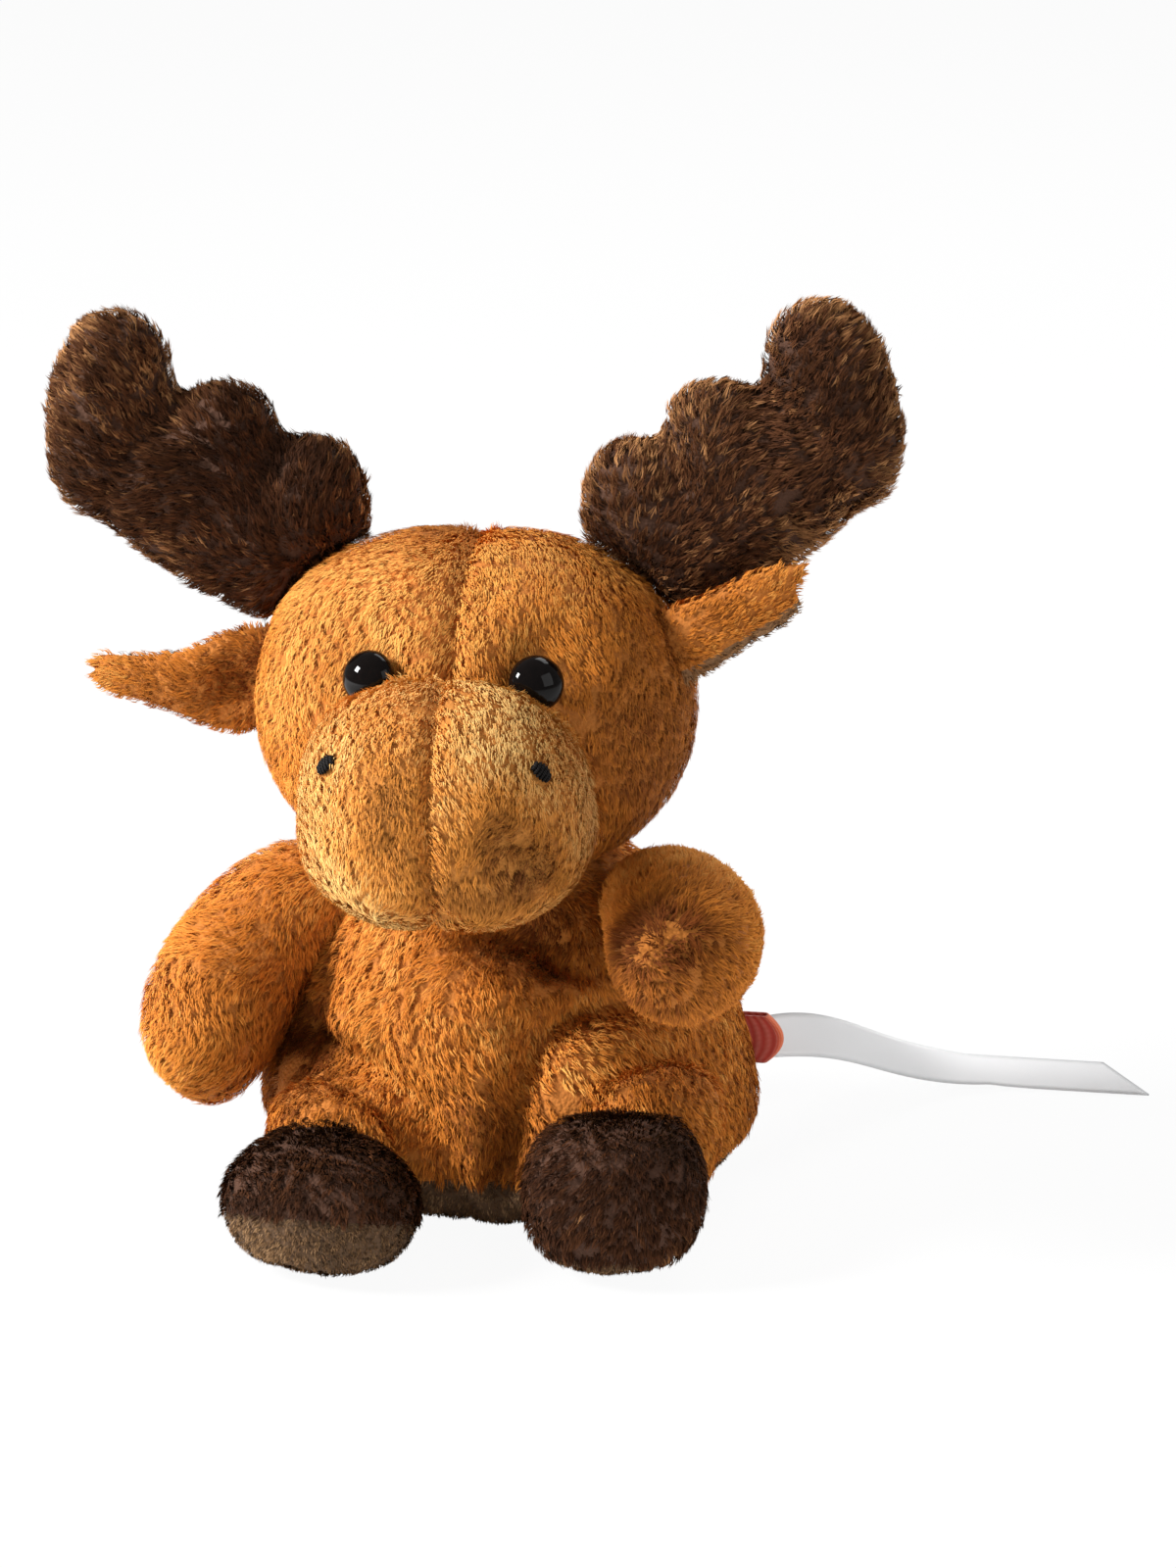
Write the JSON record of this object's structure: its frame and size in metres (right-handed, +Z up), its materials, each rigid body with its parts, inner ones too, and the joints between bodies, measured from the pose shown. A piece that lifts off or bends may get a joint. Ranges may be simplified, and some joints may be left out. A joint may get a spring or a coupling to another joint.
{
  "type": "stuffed toy moose",
  "caption": "Small sitting plush moose with broad stuffed antlers, big muzzle, splayed feet, a side label and a loose satin ribbon.",
  "frame": {"origin": "on the floor under the middle of the body, where the base panel rests", "axes": "+Z up, -Y the way the face looks, +X the toy's own left"},
  "size_m": [0.1226, 0.0873, 0.1027],
  "materials": {
    "plush": "short pile",
    "stuffing": "soft white polyester filling",
    "base_cloth": "microfibre",
    "label_cloth": "woven",
    "muzzle_plush": "short pile",
    "eye_plastic": "polished",
    "washer_plastic": "smooth",
    "thread": "satin-stitched thread",
    "dark_plush": "short pile",
    "sole_cloth": "very short pile",
    "ribbon_satin": "satin"
  },
  "bodies": {
    "body": {"body_skin": "plush", "body_fill": "stuffing", "base_panel": "base_cloth", "side_label": "label_cloth"},
    "neck": {"neck_wad": "stuffing"},
    "head": {"head_skin": "plush", "head_fill": "stuffing", "muzzle_skin": "muzzle_plush", "muzzle_fill": "stuffing", "eye_right": "eye_plastic", "eye_left": "eye_plastic", "eye_washer_right": "washer_plastic", "eye_washer_left": "washer_plastic", "nostril_right": "thread", "nostril_left": "thread"},
    "ear_right": {"ear_outer_right": "plush", "ear_lining_right": "plush"},
    "antler_right": {"antler_skin_right": "dark_plush", "antler_fill_right": "stuffing"},
    "arm_right": {"arm_skin_right": "plush", "arm_fill_right": "stuffing"},
    "leg_right": {"leg_skin_right": "plush", "hoof_skin_right": "dark_plush", "sole_right": "sole_cloth", "leg_fill_right": "stuffing"},
    "ear_left": {"ear_outer_left": "plush", "ear_lining_left": "plush"},
    "antler_left": {"antler_skin_left": "dark_plush", "antler_fill_left": "stuffing"},
    "arm_left": {"arm_skin_left": "plush", "arm_fill_left": "stuffing"},
    "leg_left": {"leg_skin_left": "plush", "hoof_skin_left": "dark_plush", "sole_left": "sole_cloth", "leg_fill_left": "stuffing"},
    "ribbon": {"ribbon": "ribbon_satin"}
  },
  "joints": [
    {"name": "head_turn", "type": "hinge", "parent": "body", "child": "neck", "pos_m": [-0.0024, -0.0021, 0.0404], "axis": [0, 0, 1], "range_deg": [-12, 8], "stiffness_Nm_per_rad": 0.04},
    {"name": "head_nod", "type": "hinge", "parent": "neck", "child": "head", "pos_m": [-0.0024, -0.0021, 0.0404], "axis": [0.9986, 0.0523, 0], "range_deg": [-5, 5], "stiffness_Nm_per_rad": 0.05},
    {"name": "ear_flap_right", "type": "hinge", "parent": "head", "child": "ear_right", "pos_m": [-0.02594, -0.00884, 0.05902], "axis": [0.0349, 0.0018, -0.9994], "range_deg": [-10, 10], "stiffness_Nm_per_rad": 0.003},
    {"name": "ear_flap_left", "type": "hinge", "parent": "head", "child": "ear_left", "pos_m": [0.01948, -0.00726, 0.06616], "axis": [-0.5439, -0.0285, 0.8387], "range_deg": [-10, 10], "stiffness_Nm_per_rad": 0.003},
    {"name": "antler_bend_right", "type": "hinge", "parent": "head", "child": "antler_right", "pos_m": [-0.02072, -0.00095, 0.07037], "axis": [-0.5439, -0.0285, -0.8387], "range_deg": [-8, 8], "stiffness_Nm_per_rad": 0.02},
    {"name": "antler_bend_left", "type": "hinge", "parent": "head", "child": "antler_left", "pos_m": [0.01493, 0.00092, 0.07086], "axis": [-0.6352, -0.0333, 0.7716], "range_deg": [-8, 8], "stiffness_Nm_per_rad": 0.02},
    {"name": "arm_lift_right", "type": "hinge", "parent": "body", "child": "arm_right", "pos_m": [-0.01792, -0.0017, 0.04733], "axis": [0, 1, 0], "range_deg": [0, 35]},
    {"name": "arm_swing_left", "type": "hinge", "parent": "body", "child": "arm_left", "pos_m": [0.02427, -0.00282, 0.03618], "axis": [0, 0, 1], "range_deg": [0, 25], "stiffness_Nm_per_rad": 0.01},
    {"name": "leg_lift_right", "type": "hinge", "parent": "body", "child": "leg_right", "pos_m": [-0.01382, -0.01835, 0.01714], "axis": [-1, 0, 0], "range_deg": [0, 15]},
    {"name": "leg_lift_left", "type": "hinge", "parent": "body", "child": "leg_left", "pos_m": [0.01536, -0.01835, 0.0211], "axis": [-1, 0, 0], "range_deg": [0, 15]},
    {"name": "ribbon_lift", "type": "hinge", "parent": "body", "child": "ribbon", "pos_m": [0.0259, 0.01345, 0.01304], "axis": [0.7715, -0.6362, 0], "range_deg": [0, 45]}
  ]
}
